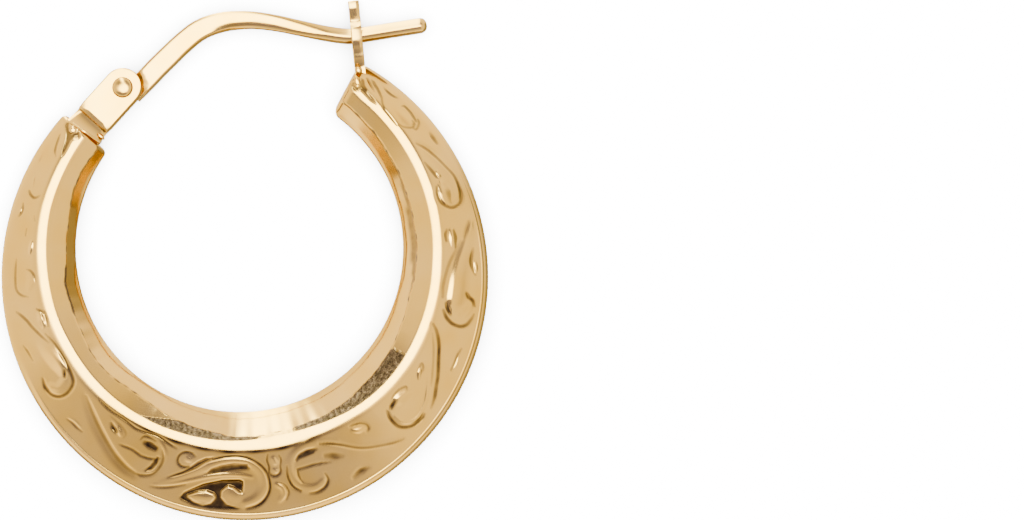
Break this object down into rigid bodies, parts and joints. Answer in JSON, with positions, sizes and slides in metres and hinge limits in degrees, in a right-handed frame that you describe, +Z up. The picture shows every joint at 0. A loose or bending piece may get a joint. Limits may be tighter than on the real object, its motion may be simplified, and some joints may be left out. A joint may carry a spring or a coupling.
{
  "type": "creole hoop earring",
  "caption": "Crescent hoop earring with pressed scrolls on both faces, a riveted hinge fork, an arched ear wire and an open-topped catch.",
  "frame": {"origin": "middle of the part's outline in plan, on the surface it lies on", "axes": "+X from the hinge to the catch, +Y from the foot of the hoop to its ear wire, +Z up from the surface"},
  "size_m": [0.025, 0.0261, 0.0035],
  "materials": {
    "hoop": "polished yellow gold",
    "hinge_rivet": "polished yellow gold",
    "ear_wire": "polished yellow gold"
  },
  "bodies": {
    "hoop": {"hoop": "hoop", "hinge_rivet": "hinge_rivet"},
    "ear_wire": {"ear_wire": "ear_wire"}
  },
  "joints": [
    {"name": "ear_wire_hinge", "type": "hinge", "parent": "hoop", "child": "ear_wire", "pos_m": [-0.00433, 0.01024, 0.00108], "axis": [0, 0.0343, 0.9994], "range_deg": [0, 75]}
  ]
}
